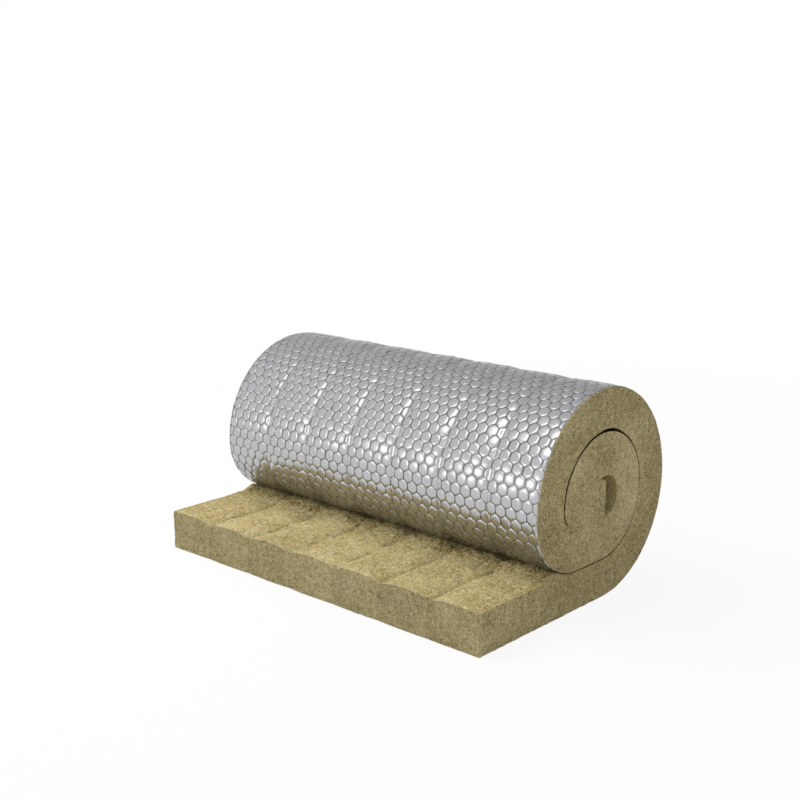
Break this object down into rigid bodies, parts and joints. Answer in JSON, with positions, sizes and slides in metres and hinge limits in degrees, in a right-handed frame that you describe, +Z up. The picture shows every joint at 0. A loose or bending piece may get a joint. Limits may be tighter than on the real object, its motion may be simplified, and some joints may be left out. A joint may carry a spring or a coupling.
{
  "type": "insulation roll",
  "caption": "Stone-wool insulation mat with a foil facing, wire-stitched in panels and rolled up, its last stretch laid out flat as a tongue.",
  "frame": {"origin": "on the floor, at the middle of the part's outline", "axes": "+X along the roll's axis, -Y towards the laid-out tongue, +Z up"},
  "size_m": [1, 0.699, 0.4999],
  "materials": {
    "wool": "fibrous stone wool, matte",
    "foil": "bright creased foil under wire netting"
  },
  "bodies": {
    "root": {"wool_mat": "wool", "foil_facing": "foil"}
  },
  "joints": []
}
